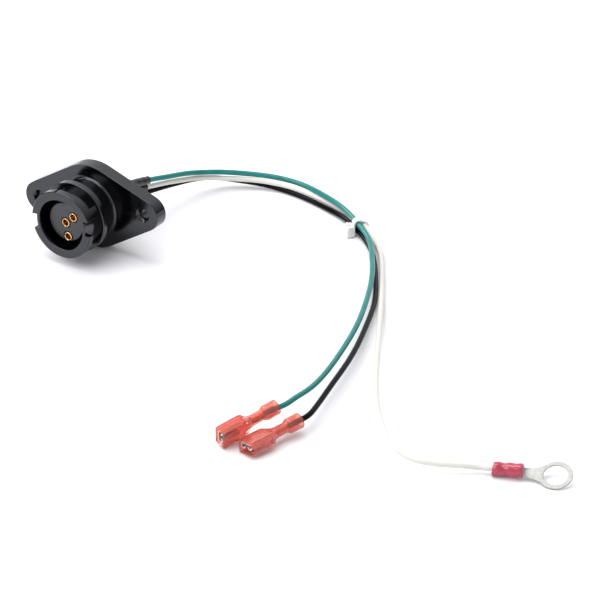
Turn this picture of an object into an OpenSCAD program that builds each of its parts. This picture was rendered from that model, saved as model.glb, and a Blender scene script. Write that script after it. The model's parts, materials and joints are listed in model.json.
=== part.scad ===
// Panel receptacle with three short leads: a moulded round socket on a
// two-hole diamond flange, and a green, a white and a black lead that end in
// two insulated tab receptacles and one ring terminal.
// Millimetres, +Z up. The receptacle stands on the rim of its flange with its
// mating face toward -Y, and the leads lie on the surface z = 0.

/* [Receptacle] */
// Radius of the front bayonet ring
ring_r = 13.2; // [13:0.1:13.4]
// Radius of the bore that takes the plug's shell
bore_r = 9.75; // [9.7:0.05:9.8]
// Radius of the contact core in the middle of the bore
core_r = 7.7; // [7.4:0.1:7.9]
// How far the face of the core lies behind the front ring
core_depth = 3.2; // [3:0.1:3.6]
// Radius of the bottom of the bayonet channel
channel_r = 11; // [10.9:0.1:11.2]
// Width of the two entry notches in the front ring
notch_w = 5.6; // [5:0.1:6]
// Radius of the shoulder behind the bayonet channel
shoulder_r = 13.5; // [13.4:0.1:13.8]
// Radius of the barrel between the shoulder and the flange
neck_r = 11; // [10.9:0.1:11.2]
// Radius of the fillet where the barrel meets the flange
root_r = 1.2; // [1:0.1:1.4]
// Radius of the middle of the flange
flange_r = 16.5; // [16.5:0.1:16.5]
// Radius of the two ends of the flange
flange_end_r = 6.1; // [5.6:0.1:6.2]
// Thickness of the flange
flange_t = 5.4; // [5:0.1:5.8]
// Distance between the two mounting holes
hole_pitch = 47.6; // [47:0.1:48]
// Diameter of the mounting holes
hole_d = 3.8; // [3.5:0.1:4.2]
// Diameter of the countersink of the mounting holes
sink_d = 5.8; // [5:0.1:6.4]

/* [Contacts] */
// Diameter of the hole in each socket contact
socket_d = 2.3; // [2:0.1:2.5]
// Outer diameter at the tip of each socket contact
contact_d = 3.4; // [3.3:0.1:3.4]

/* [Leads] */
// Diameter over the insulation of a lead
wire_d = 2; // [1.8:0.1:2]
// Outer diameter of a shrink sleeve on its lead
sleeve_d = 3.2; // [3:0.1:3.4]

/* [Terminals] */
// Hole of the ring terminal
stud_d = 8.4; // [8.2:0.1:8.6]
// Outside diameter of the ring terminal
eye_d = 11.6; // [11.2:0.1:12]
// Width of the housing of a tab receptacle
house_w = 7.2; // [7:0.1:7.4]
// Thickness of the housing of a tab receptacle
house_t = 4.8; // [4.7:0.1:4.9]

/* [Placement] */
// Roll of the receptacle about its own axis
lay_roll = 7.7; // [0:0.1:8]

/* [Hidden] */
$fn = 64;

// ---- receptacle, in its own frame: axis along y, y = 0 at the front ring ----
total_y = 31;              // front ring to the end of the solder cups
axis_z = flange_r;         // the axis is level, one flange radius above the floor
flange_y = 18.1;           // front face of the flange
flange_end_x = 24.3;       // centre of each rounded end of the flange
boss_r = 10.4;             // short boss behind the flange
boss_y = 28;               // rear end of the boss
seat_r = 8.4;              // opening in the rear of the shell
lip_y = 20;                // lip that the core's base sits against
contact_r = contact_d / 2;
collar_c = 2.1;            // radius of a contact's body
cup_r = 1.5;               // radius of a solder cup
cup_y = 26;                // start of the solder cup's hole

// contact places, across and up from the axis
contact_at = [[3.6, 2.3], [-0.2, -0.3], [0, -5.8]];

// ---- small vector helpers ----
function unit(v) = v / norm(v);
function rx(v, a) = [v[0], v[1] * cos(a) - v[2] * sin(a), v[1] * sin(a) + v[2] * cos(a)];
function ry(v, a) = [v[0] * cos(a) + v[2] * sin(a), v[1], -v[0] * sin(a) + v[2] * cos(a)];
function rz(v, a) = [v[0] * cos(a) - v[1] * sin(a), v[0] * sin(a) + v[1] * cos(a), v[2]];
// a point p of a piece that lies at o, turned by the angles a
function placed(o, a, p) = o + rz(ry(rx(p, a[0]), a[1]), a[2]);
// a point of the receptacle in the frame of the whole part
function seated(x, y, z) = [0, -total_y / 2, axis_z] + ry([x, y, z], -lay_roll);

// ---- where the three terminals lie ----
tab_len = 24;              // tab receptacle, entry face to wire end
green_o = [122.1, -88.2, 4.03];
green_a = [102, -9.4, 71];
black_o = [132.1, -87.5, 3.1];
black_a = [-11, -3.8, 75];
ring_o = [226.6, -42.6, 2.4];
ring_a = [20.5, -3, 21];
ring_axis_z = 1.3;         // height of the crimp barrel over the tongue's middle
ring_rear = -21.5;         // rear end of the ring terminal's sleeve
wire_in_tab = 18.7;         // how far up the tab receptacle the insulation ends
wire_in_ring = -19.4;      // the same for the ring terminal

// ---- lead routes: points on each lead's centre line ----
route_green = concat(
    [seated(contact_at[0][0], total_y, contact_at[0][1]), seated(contact_at[0][0], total_y + 1.2, contact_at[0][1])],
    [[3.6, 23, 18], [4.5, 32, 16], [5.8, 42.6, 13.3], [7.1, 51.6, 11.1], [9.7, 59.4, 9.1],
     [13.9, 66, 7.6], [20, 72.1, 6.2], [28.4, 77.4, 5.1], [39.4, 79.8, 4.4], [49.8, 77.8, 4.5],
     [60.9, 74.1, 4.5], [69.1, 69.8, 4.6], [76.1, 65.2, 4.5], [85.5, 58.1, 4.1], [92.8, 49.1, 3.9],
     [101.5, 36, 4], [110.1, 19.4, 4], [117.3, 2.4, 4], [123.2, -15.7, 4.3], [128.4, -35, 5.1],
     [130.5, -48.3, 6.1], [130.8, -56, 6.9]],
    [placed(green_o, green_a, [tab_len + 3, -1.25, 0]),
     placed(green_o, green_a, [tab_len, -0.75, 0]), placed(green_o, green_a, [wire_in_tab, 0, 0])]);
route_white = concat(
    [seated(contact_at[1][0], total_y, contact_at[1][1]), seated(contact_at[1][0], total_y + 1.2, contact_at[1][1])],
    [[1, 23, 15], [3.6, 31.5, 13.1], [4.9, 39.6, 11.4], [6.4, 50.2, 8.8], [9.2, 59, 6.8],
     [15.3, 66.8, 5], [23.2, 73.2, 3.9], [33.1, 77, 3.3], [43.6, 77.6, 3], [55.4, 76.3, 2.2],
     [65.8, 73.2, 2.2], [76.6, 67.7, 3.6], [83.6, 62.4, 2.9], [89.5, 58.2, 2], [97, 49.2, 1.2],
     [103.8, 39, 1.3], [125.9, 3.6, 3], [140.8, -20.8, 4], [155.1, -41.7, 4.4], [162.8, -50.7, 4.4],
     [172.3, -58.9, 4.2], [182.1, -62.4, 3.8], [190.2, -60, 3.3], [198.3, -55.3, 2.9]],
    [placed(ring_o, ring_a, [ring_rear - 4, 0, ring_axis_z]),
     placed(ring_o, ring_a, [ring_rear, 0, ring_axis_z]), placed(ring_o, ring_a, [wire_in_ring, 0, ring_axis_z])]);
route_black = concat(
    [seated(contact_at[2][0], total_y, contact_at[2][1]), seated(contact_at[2][0], total_y + 1.2, contact_at[2][1])],
    [[1.6, 24, 10.8], [2.6, 32.5, 9.9], [3.9, 41.5, 8.7], [5, 50, 7.2], [7.3, 59.1, 5.8],
     [11.2, 66, 4.4], [16, 70.6, 3], [24, 75.2, 1.8], [34.5, 77.2, 1.2], [46, 76.3, 1.1],
     [57, 73.8, 1.2], [67.5, 70, 1.7], [75.3, 65.4, 1.9], [85.5, 58.2, 1.25], [99.5, 41.2, 1.1],
     [110, 24.9, 1.5], [118.9, 6.2, 2.7], [125.4, -9.8, 3.6], [129.5, -21.8, 4.2], [134.6, -40.4, 4.8],
     [138.5, -55.8, 4.9]],
    [placed(black_o, black_a, [tab_len + 3, 0, 0]),
     placed(black_o, black_a, [tab_len, 0, 0]), placed(black_o, black_a, [wire_in_tab, 0, 0])]);

// ---- swept tubes ----
function along(P, i) = let (n = len(P) - 1)
    unit((i == 0 ? [0, 0, 0] : unit(P[i] - P[i - 1])) + (i == n ? [0, 0, 0] : unit(P[i + 1] - P[i])));
function ring_of(P, i, r, m) = let (t = along(P, i), s = unit(cross(t, [0, 0, 1])), u = cross(s, t))
    [for (k = [0:m - 1]) P[i] + r * (cos(360 * k / m) * s + sin(360 * k / m) * u)];
function skin(o, n, m, flip) = [for (i = [0:n - 2]) for (k = [0:m - 1]) let (
    a = o + i * m + k, b = o + i * m + (k + 1) % m, c = a + m, d = b + m)
    each flip ? [[a, b, c], [b, d, c]] : [[a, c, b], [b, c, d]]];

// a solid cord along the points P
module cord(P, r, m = 8) {
    n = len(P);
    pts = [for (i = [0:n - 1]) each ring_of(P, i, r, m)];
    polyhedron(pts, concat(skin(0, n, m, true),
        [[for (k = [0:m - 1]) m - 1 - k]], [[for (k = [0:m - 1]) (n - 1) * m + k]]));
}

// a hollow sleeve along the points P, with an inner and an outer radius at each
module sleeve(P, ri, ro, m = 12) {
    n = len(P);
    pts = concat([for (i = [0:n - 1]) each ring_of(P, i, ro[i], m)],
                 [for (i = [0:n - 1]) each ring_of(P, i, ri[i], m)]);
    q = n * m;
    polyhedron(pts, concat(skin(0, n, m, true), skin(q, n, m, false),
        [for (k = [0:m - 1]) let (j = (k + 1) % m) each [[k, q + k, j], [j, q + k, q + j]]],
        [for (k = [0:m - 1]) let (j = (k + 1) % m, e = (n - 1) * m)
            each [[e + k, e + j, q + e + k], [e + j, q + e + j, q + e + k]]]));
}

// ---- placing ----
module seat() { translate([0, -total_y / 2, axis_z]) rotate([0, -lay_roll, 0]) children(); }
module lying(o, a) { translate(o) rotate(a) children(); }
// a body of revolution about y from points [radius, y]
module turned(p) { rotate([-90, 0, 0]) rotate_extrude() polygon(p); }
// an outline in x and z, carried from y1 to y2
module slab(y1, y2) { translate([0, y2, 0]) rotate([90, 0, 0]) linear_extrude(y2 - y1) children(); }
// a body of revolution about x from points [radius, x]
module turned_x(p) { rotate([0, 90, 0]) rotate_extrude() polygon(p); }

// ---- flange outline: a round middle and two round ends joined by tangents ----
module flange_outline() {
    a = acos((flange_r - flange_end_r) / flange_end_x);
    circle(flange_r);
    for (s = [-1, 1]) translate([s * flange_end_x, 0]) circle(flange_end_r);
    // the straight sides lie a hair inside the tangents
    m = flange_r - 0.03;
    e = flange_end_r - 0.03;
    for (s = [-1, 1]) polygon([
        [0, 0], [s * m * cos(a), m * sin(a)],
        [s * (flange_end_x + e * cos(a)), e * sin(a)],
        [s * flange_end_x, 0],
        [s * (flange_end_x + e * cos(a)), -e * sin(a)],
        [s * m * cos(a), -m * sin(a)]]);
}

// one stop that closes the bayonet channel above an entry notch
module stop_block() {
    slab(2.2, 8.6) intersection() {
        difference() { circle(12.8); circle(channel_r - 0.4); }
        polygon([[0, 0], [16 * cos(13), 16 * sin(13)], [16 * cos(30), 16 * sin(30)]]);
    }
}

// hollow of the shell: plug bore, ring groove, seat and rear opening
module shell_hollow() {
    turned([[0, -1], [bore_r, -1], [bore_r, 13.2], [10.4, 13.2], [10.4, 14.4], [bore_r, 14.4],
        [bore_r, lip_y], [seat_r, lip_y], [seat_r, boss_y + 1], [0, boss_y + 1]]);
}

// front of the moulded shell: bayonet ring, channel, shoulder, barrel and root fillet
module shell_barrel() {
    color("#1d1d20") seat() difference() {
        union() {
            turned([[0, 0], [ring_r - 0.4, 0], [ring_r, 0.4], [ring_r, 2.4], [channel_r, 2.4],
                [channel_r, 8], [shoulder_r - 0.3, 8], [shoulder_r, 8.3], [shoulder_r, 10.2],
                [shoulder_r - 0.3, 10.5], [neck_r, 10.5],
                each [for (a = [0:22.5:90]) [neck_r + root_r * (1 - cos(a)), flange_y - root_r * (1 - sin(a))]],
                [0, flange_y]]);
            for (t = [0, 180]) rotate([0, -t, 0]) stop_block();
        }
        shell_hollow();
        for (s = [-1, 1]) translate([s * 13.9 - 3, -1, -notch_w / 2]) cube([6, 3.4, notch_w]);
        rotate([0, -92, 0]) translate([ring_r - 0.5, -1, -0.5]) cube([2, 3.4, 1]);
    }
}

// rear of the moulded shell: two-hole flange and boss
module shell_flange() {
    color("#1d1d20") seat() difference() {
        union() {
            slab(flange_y, flange_y + flange_t) flange_outline();
            turned([[0, flange_y + 1], [boss_r, flange_y + 1], [boss_r, boss_y - 0.4], [boss_r - 0.4, boss_y], [0, boss_y]]);
        }
        shell_hollow();
        for (s = [-1, 1]) translate([s * hole_pitch / 2, 0, 0]) {
            turned([[0, flange_y - 1], [hole_d / 2, flange_y - 1], [hole_d / 2, flange_y + flange_t + 1],
                [0, flange_y + flange_t + 1]]);
            turned([[0, flange_y - 0.2], [sink_d / 2 + 0.2, flange_y - 0.2], [sink_d / 2, flange_y],
                [hole_d / 2, flange_y + sink_d / 2 - hole_d / 2], [0, flange_y + sink_d / 2 - hole_d / 2]]);
        }
    }
}

// contact core: round nose in the bore, base against the shell's lip
module contact_insert() {
    color("#26262a") seat() difference() {
        turned([[0, core_depth], [core_r - 0.3, core_depth], [core_r, core_depth + 0.3], [core_r, 14.5],
            [bore_r - 0.1, 14.5], [bore_r - 0.1, lip_y - 0.05], [seat_r - 0.1, lip_y - 0.05],
            [seat_r - 0.1, cup_y - 0.1], [0, cup_y - 0.1]]);
        for (c = contact_at) translate([c[0], 0, c[1]])
            turned([[0, 0], [collar_c, 0], [collar_c, core_depth + 0.6], [contact_r + 0.06, core_depth + 0.6],
                [contact_r + 0.06, 12], [collar_c + 0.06, 12], [collar_c + 0.06, cup_y + 1], [0, cup_y + 1]]);
    }
}

// spring ring that holds the core's base, in a groove of the bore
module insert_retaining_ring() {
    color("#7c7f84") seat() slab(13.3, 14.3) difference() {
        circle(10.3);
        circle(8.8);
        polygon([[0, 0], [-16 * sin(14), -16 * cos(14)], [16 * sin(14), -16 * cos(14)]]);
    }
}

// disc that closes the rear of the shell and holds the contacts
module contact_retainer() {
    color("#222226") seat() difference() {
        turned([[0, cup_y + 0.05], [seat_r - 0.1, cup_y + 0.05], [seat_r - 0.1, boss_y - 0.3], [seat_r - 0.4, boss_y], [0, boss_y]]);
        for (c = contact_at) translate([c[0], 0, c[1]])
            turned([[0, cup_y - 1], [cup_r + 0.06, cup_y - 1], [cup_r + 0.06, boss_y + 1], [0, boss_y + 1]]);
    }
}

// turned socket contact with a solder cup at the rear
module socket_contact(c) {
    seat() translate([c[0], 0, c[1]]) turned([
        [socket_d / 2 + 0.15, core_depth - 0.2], [contact_r - 0.25, core_depth - 0.2], [contact_r, core_depth + 0.05],
        [contact_r, 12.05], [collar_c, 12.05], [collar_c, cup_y - 0.1], [cup_r, cup_y - 0.1], [cup_r, total_y],
        [0.95, total_y], [0.95, cup_y], [0, cup_y], [0, 12], [socket_d / 2, 12], [socket_d / 2, core_depth]]);
}
module contact_green() { color("#d9a441") socket_contact(contact_at[0]); }
module contact_white() { color("#d9a441") socket_contact(contact_at[1]); }
module contact_black() { color("#d9a441") socket_contact(contact_at[2]); }

// bare strands of the three leads in the solder cups
module conductor_tails() {
    color("#b87748") seat() for (c = contact_at) translate([c[0], 0, c[1]])
        turned([[0, cup_y + 0.2], [0.85, cup_y + 0.2], [0.85, total_y - 0.05], [0, total_y - 0.05]]);
}

// shrink sleeve over a solder cup and the start of its lead
module heat_shrink(P) {
    c = P[0];
    sleeve([c - [0, total_y - boss_y - 0.3, 0], c + [0, 0.3, 0], P[1], P[2], P[3]],
        [1.58, 1.58, 1.06, 1.06, 1.06],
        [2.05, 2.05, sleeve_d / 2, sleeve_d / 2, sleeve_d / 2]);
}
module heat_shrink_green() { color("#17171a") heat_shrink(route_green); }
module heat_shrink_white() { color("#17171a") heat_shrink(route_white); }
module heat_shrink_black() { color("#17171a") heat_shrink(route_black); }

// insulated leads
module wire_green() { color("#2f8f7c") cord(route_green, wire_d / 2); }
module wire_white() { color("#ece8da") cord(route_white, wire_d / 2); }
module wire_black() { color("#1a1a1c") cord(route_black, wire_d / 2); }

// tie around the three leads: strap loop, head and trimmed tail
tie_o = [75.8, 66.1, 0];
tie_yaw = -35.7;
strap_w = 2.6;
// outline around the three leads, grown by g
module bundle(g) {
    hull() {
        translate([-0.9, 1.88]) circle(1.1 + g, $fn = 32);
        translate([1.69, 3.54]) circle(1.12 + g, $fn = 32);
        translate([-0.59, 4.51]) circle(1.08 + g, $fn = 32);
    }
}
module cable_tie() {
    color("#e9e6dc") translate(tie_o) rotate([0, 0, tie_yaw]) rotate([90, 0, 90]) translate([0, 0, -strap_w / 2]) {
        linear_extrude(strap_w) difference() { bundle(0.75); bundle(0); }
        difference() {
            translate([-5.7, 0.1, -0.5]) cube([3.4, 4.5, 4.6]);
            translate([-4.9, -1, 0.1]) cube([1, 2, strap_w - 0.2]);
        }
        translate([-4.85, 4.55, 0.15]) cube([0.9, 0.45, strap_w - 0.3]);
    }
}

// ---- insulated tab receptacle: x from the tab entry to the wire end,
//      y across the tab, z through its thickness ----
module house_outline(w, t, c) {
    square([t - 2 * c, w], center = true);
    square([t, w - 2 * c], center = true);
    for (y = [-1, 1], z = [-1, 1]) translate([z * (t / 2 - c), y * (w / 2 - c)]) circle(c);
}
module disconnect_housing() {
    difference() {
        union() {
            rotate([0, 90, 0]) linear_extrude(10.6) house_outline(house_w, house_t, 0.4);
            turned_x([[0, 9.5], [2.35, 9.5], [2.35, 10.8], [2.15, 12.2], [1.95, 13.6], [1.85, 17.8], [2.8, 19.4], [2.8, tab_len], [0, tab_len]]);
        }
        translate([-1, -house_w / 2 + 0.5, -1.75]) cube([10.8, house_w - 1, 3.5]);
        translate([-1, -house_w / 2 - 1, -0.85]) cube([2.1, 2, 1.7]);
        turned_x([[0, 9], [1.7, 9], [1.7, 11.2], [1.32, 13], [1.32, 18.2], [2.1, 19.6], [2.1, tab_len + 0.1], [0, tab_len + 0.1]]);
    }
}
// tinned tab receptacle: flat floor, two rolled edges, neck and crimp barrel
module disconnect_terminal() {
    w = 2.85;
    translate([0.7, 0, 0]) rotate([90, 0, 90]) linear_extrude(7.2) {
        translate([-w + 0.9, -1.6]) square([2 * w - 1.8, 0.4]);
        for (s = [-1, 1]) translate([s * (w - 1.2), -0.4]) difference() {
            circle(1.2);
            circle(0.8);
            translate([s > 0 ? -2 : 0, -0.55]) square([2, 1.35]);
        }
    }
    translate([7.8, -0.9, -1.6]) cube([1.9, 1.8, 0.4]);
    translate([9.3, -0.55, -1.2]) cube([0.4, 1.1, 0.5]);
    translate([9.3, -0.55, -1.1]) cube([4.2, 1.1, 0.35]);
    translate([9.3, -0.55, -1.6]) cube([0.4, 1.1, 0.85]);
    turned_x([[0.7, 13.2], [1.02, 13.2], [1.02, 18], [0.7, 18]]);
}
// support sleeve between the crimp barrel and the housing
module crimp_sleeve() {
    turned_x([[1.08, 13.6], [1.26, 13.6], [1.26, 18.1], [1.08, 18.1]]);
}
// bare strands in the crimp barrel
module crimped_strands(x1, x2) { turned_x([[0, x1], [0.66, x1], [0.66, x2], [0, x2]]); }

module disconnect_housing_green() { color("#e2705a", 0.8) lying(green_o, green_a) disconnect_housing(); }
module disconnect_terminal_green() { color("#c9c7c2") lying(green_o, green_a) disconnect_terminal(); }
module crimp_sleeve_green() { color("#b98a52") lying(green_o, green_a) crimp_sleeve(); }
module conductor_end_green() { color("#b87748") lying(green_o, green_a) crimped_strands(13.4, wire_in_tab - 0.05); }
module disconnect_housing_black() { color("#e2705a", 0.8) lying(black_o, black_a) disconnect_housing(); }
module disconnect_terminal_black() { color("#c9c7c2") lying(black_o, black_a) rotate([180, 0, 0]) disconnect_terminal(); }
module crimp_sleeve_black() { color("#b98a52") lying(black_o, black_a) crimp_sleeve(); }
module conductor_end_black() { color("#b87748") lying(black_o, black_a) crimped_strands(13.4, wire_in_tab - 0.05); }

// ---- ring terminal: x from the wire to the tip, origin in the eye ----
module ring_tongue() {
    color("#c4c3bf") lying(ring_o, ring_a) {
        difference() {
            union() {
                translate([0, 0, -0.3]) cylinder(h = 0.6, d = eye_d);
                translate([0, 0, -0.3]) linear_extrude(0.6)
                    polygon([[-4.3, 3.75], [-6.2, 2.9], [-7.3, 2.5], [-9, 2.05], [-10.7, 1.6], [-10.7, -1.6], [-9, -2.05], [-7.3, -2.5], [-6.2, -2.9], [-4.3, -3.75]]);
            }
            translate([0, 0, -2]) cylinder(h = 4, d = stud_d);
        }
        difference() {
            translate([0, 0, ring_axis_z]) turned_x([[0, -19.2], [1.6, -19.2], [1.6, -10.4], [0, -10.4]]);
            translate([0, 0, ring_axis_z]) turned_x([[0, -20], [0.85, -20], [0.85, -9], [0, -9]]);
        }
    }
}
// moulded sleeve over the crimp barrel
module ring_sleeve() {
    color("#b3183a", 0.9) lying(ring_o, ring_a) translate([0, 0, ring_axis_z])
        turned_x([[1.68, -19.4], [1.68, -10.8], [2.2, -10.8], [2.5, -11.1], [2.5, -21.1], [2.3, ring_rear], [1.3, ring_rear], [1.3, -20.4]]);
}
module conductor_end_white() { color("#b87748") lying(ring_o, ring_a) translate([0, 0, ring_axis_z]) crimped_strands(wire_in_ring + 0.05, -12); }

shell_barrel();
shell_flange();
contact_insert();
insert_retaining_ring();
contact_retainer();
contact_green();
contact_white();
contact_black();
conductor_tails();
heat_shrink_green();
heat_shrink_white();
heat_shrink_black();
wire_green();
wire_white();
wire_black();
cable_tie();
disconnect_housing_green();
disconnect_terminal_green();
crimp_sleeve_green();
conductor_end_green();
disconnect_housing_black();
disconnect_terminal_black();
crimp_sleeve_black();
conductor_end_black();
ring_tongue();
ring_sleeve();
conductor_end_white();
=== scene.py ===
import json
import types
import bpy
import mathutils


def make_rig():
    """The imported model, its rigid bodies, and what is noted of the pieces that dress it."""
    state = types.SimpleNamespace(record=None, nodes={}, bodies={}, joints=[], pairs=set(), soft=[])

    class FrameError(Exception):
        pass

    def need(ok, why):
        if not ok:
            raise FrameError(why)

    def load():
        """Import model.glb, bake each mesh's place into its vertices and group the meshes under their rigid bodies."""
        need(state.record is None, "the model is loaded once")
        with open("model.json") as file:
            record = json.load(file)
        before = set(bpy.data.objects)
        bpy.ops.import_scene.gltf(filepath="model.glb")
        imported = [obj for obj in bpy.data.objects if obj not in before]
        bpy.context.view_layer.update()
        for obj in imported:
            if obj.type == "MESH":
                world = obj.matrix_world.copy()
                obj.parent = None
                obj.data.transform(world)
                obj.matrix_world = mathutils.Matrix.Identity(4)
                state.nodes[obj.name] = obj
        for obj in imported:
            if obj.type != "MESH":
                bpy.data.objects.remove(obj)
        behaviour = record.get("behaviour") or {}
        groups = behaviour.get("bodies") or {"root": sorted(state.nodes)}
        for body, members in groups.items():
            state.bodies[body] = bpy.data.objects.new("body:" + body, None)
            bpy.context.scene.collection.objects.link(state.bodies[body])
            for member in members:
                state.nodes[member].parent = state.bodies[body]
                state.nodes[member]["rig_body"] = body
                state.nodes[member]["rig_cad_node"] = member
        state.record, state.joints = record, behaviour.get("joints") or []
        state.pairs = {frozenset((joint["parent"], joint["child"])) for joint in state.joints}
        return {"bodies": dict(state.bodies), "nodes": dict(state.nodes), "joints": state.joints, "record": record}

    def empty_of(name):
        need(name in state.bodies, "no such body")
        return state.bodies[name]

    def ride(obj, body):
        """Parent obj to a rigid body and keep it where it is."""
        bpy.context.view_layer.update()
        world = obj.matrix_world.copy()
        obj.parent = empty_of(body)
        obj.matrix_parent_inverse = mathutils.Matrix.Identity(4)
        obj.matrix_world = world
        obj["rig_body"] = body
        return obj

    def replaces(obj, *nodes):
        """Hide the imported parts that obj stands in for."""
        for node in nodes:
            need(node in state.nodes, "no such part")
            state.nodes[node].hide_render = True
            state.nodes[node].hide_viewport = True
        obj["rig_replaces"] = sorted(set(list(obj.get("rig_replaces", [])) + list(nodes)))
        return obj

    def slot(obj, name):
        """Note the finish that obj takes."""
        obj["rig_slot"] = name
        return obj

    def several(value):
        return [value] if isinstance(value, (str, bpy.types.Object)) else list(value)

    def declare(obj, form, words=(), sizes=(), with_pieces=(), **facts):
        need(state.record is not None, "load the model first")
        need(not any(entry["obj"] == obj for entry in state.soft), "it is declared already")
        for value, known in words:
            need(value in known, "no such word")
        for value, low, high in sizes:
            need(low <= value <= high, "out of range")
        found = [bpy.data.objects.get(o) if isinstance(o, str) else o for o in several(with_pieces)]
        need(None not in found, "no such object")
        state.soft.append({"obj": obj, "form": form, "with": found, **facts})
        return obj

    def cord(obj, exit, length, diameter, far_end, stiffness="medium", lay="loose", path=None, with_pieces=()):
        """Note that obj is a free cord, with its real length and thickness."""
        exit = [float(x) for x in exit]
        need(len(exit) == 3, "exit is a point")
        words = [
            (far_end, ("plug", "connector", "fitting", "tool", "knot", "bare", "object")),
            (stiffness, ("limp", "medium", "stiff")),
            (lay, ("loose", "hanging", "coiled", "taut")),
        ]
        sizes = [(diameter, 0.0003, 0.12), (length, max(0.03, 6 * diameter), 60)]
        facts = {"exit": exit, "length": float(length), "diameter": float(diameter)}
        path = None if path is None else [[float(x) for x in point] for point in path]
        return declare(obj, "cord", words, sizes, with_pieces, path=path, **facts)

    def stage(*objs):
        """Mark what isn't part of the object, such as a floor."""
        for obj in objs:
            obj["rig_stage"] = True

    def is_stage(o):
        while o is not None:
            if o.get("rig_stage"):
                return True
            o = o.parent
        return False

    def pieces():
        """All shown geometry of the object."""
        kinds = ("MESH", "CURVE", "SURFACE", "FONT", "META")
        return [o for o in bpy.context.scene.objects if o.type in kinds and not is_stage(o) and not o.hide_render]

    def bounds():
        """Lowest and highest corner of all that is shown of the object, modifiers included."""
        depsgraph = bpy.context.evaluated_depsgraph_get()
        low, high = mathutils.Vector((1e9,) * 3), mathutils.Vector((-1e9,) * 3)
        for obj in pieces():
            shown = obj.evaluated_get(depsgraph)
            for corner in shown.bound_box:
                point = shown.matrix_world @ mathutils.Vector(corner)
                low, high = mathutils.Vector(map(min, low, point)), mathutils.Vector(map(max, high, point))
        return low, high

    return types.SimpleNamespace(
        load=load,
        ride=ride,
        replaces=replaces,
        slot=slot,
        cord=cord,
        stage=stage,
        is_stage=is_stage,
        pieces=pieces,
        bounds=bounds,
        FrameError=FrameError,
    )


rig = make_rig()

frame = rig.load()

import json
import math

import bmesh
import bpy
import numpy as np
from mathutils import Matrix, Vector

cad_lo, cad_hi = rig.bounds()
scene = bpy.context.scene

# ------------------------------------------------------------------ camera
cam_data = bpy.data.cameras.new("camera")
cam_data.lens = 240.0
cam_data.sensor_width = 36.0
cam_data.sensor_height = 36.0
cam_data.clip_start = 0.05
cam_data.clip_end = 50.0
camera = bpy.data.objects.new("camera", cam_data)
right = (0.825551773, 0.564326386, 0.0)
up = (-0.274441765, 0.401480228, 0.873782206)
back = (0.493098354, -0.721352450, 0.486317444)
eye = (0.795070, -1.024711, 0.698896)
camera.matrix_world = Matrix([[right[i], up[i], back[i], eye[i]] for i in range(3)] + [[0, 0, 0, 1]])
scene.collection.objects.link(camera)
scene.camera = camera

# ------------------------------------------------------------------ placing
# Shapes are worked out in millimetres and carried into the row frame in metres.
MM = Matrix.Scale(0.001, 4)


def turn(a):
    """x, then y, then z, in degrees."""
    a = [math.radians(v) for v in a]
    return Matrix.Rotation(a[2], 4, "Z") @ Matrix.Rotation(a[1], 4, "Y") @ Matrix.Rotation(a[0], 4, "X")


SEAT = Matrix.Translation((0, -15.5, 16.5)) @ turn((0, -7.7, 0))
GREEN = Matrix.Translation((122.1, -88.2, 4.03)) @ turn((102, -9.4, 71))
BLACK = Matrix.Translation((132.1, -87.5, 3.1)) @ turn((-11, -3.8, 75))
RING = Matrix.Translation((226.6, -42.6, 2.4)) @ turn((20.5, -3, 21))
TAB_LEN = 24.0
RING_Z = 1.3
RING_REAR = -21.5
WIRE_R = 1.0
CONTACTS = [(3.6, 2.3), (-0.2, -0.3), (0.0, -5.8)]


def at(m, *p):
    return np.array(m @ Vector(p))


# ------------------------------------------------------------------ mesh helpers
def new_object(name, bm, m=None):
    """A mesh object from bm, carried by m (millimetres) into metres."""
    me = bpy.data.meshes.new(name)
    bmesh.ops.recalc_face_normals(bm, faces=bm.faces[:])
    bm.to_mesh(me)
    bm.free()
    if m is not None:
        me.transform(MM @ m)
    o = bpy.data.objects.new(name, me)
    scene.collection.objects.link(o)
    return o


def settle(o):
    """Replaces o's mesh by the result of its modifiers."""
    deps = bpy.context.evaluated_depsgraph_get()
    deps.update()
    me = bpy.data.meshes.new_from_object(o.evaluated_get(deps))
    o.modifiers.clear()
    o.data = me
    return o


def smooth(o, angle=32, weighted=True):
    me = o.data
    for p in me.polygons:
        p.use_smooth = True
    me.set_sharp_from_angle(angle=math.radians(angle))
    if weighted:
        w = o.modifiers.new("normals", "WEIGHTED_NORMAL")
        w.keep_sharp = True
        w.weight = 60
    return o


def loft(bm, rings, close=False, cap=(False, False)):
    """Quads between rings of equally many points. close joins the last ring to the first."""
    vs = [[bm.verts.new(p) for p in r] for r in rings]
    n = len(vs[0])
    pairs = list(zip(vs, vs[1:])) + ([(vs[-1], vs[0])] if close else [])
    for a, b in pairs:
        for i in range(n):
            j = (i + 1) % n
            bm.faces.new((a[i], a[j], b[j], b[i]))
    if cap[0]:
        bm.faces.new(vs[0][::-1])
    if cap[1]:
        bm.faces.new(vs[-1])
    return vs


def lathe(bm, prof, axis="y", n=64, close=False, wobble=None):
    """Turns (radius, along) points about an axis. Points of radius 0 end in a fan."""
    rings = []
    for r, a in prof:
        ring = []
        for i in range(n):
            t = 2 * math.pi * i / n
            rr = r if wobble is None else r + wobble(a, t, r)
            c, s = rr * math.cos(t), rr * math.sin(t)
            ring.append((c, a, s) if axis == "y" else (a, c, s) if axis == "x" else (c, s, a))
        rings.append(ring)
    loft(bm, rings, close)
    bmesh.ops.remove_doubles(bm, verts=bm.verts[:], dist=1e-5)
    bmesh.ops.dissolve_degenerate(bm, edges=bm.edges[:], dist=1e-5)


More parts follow.
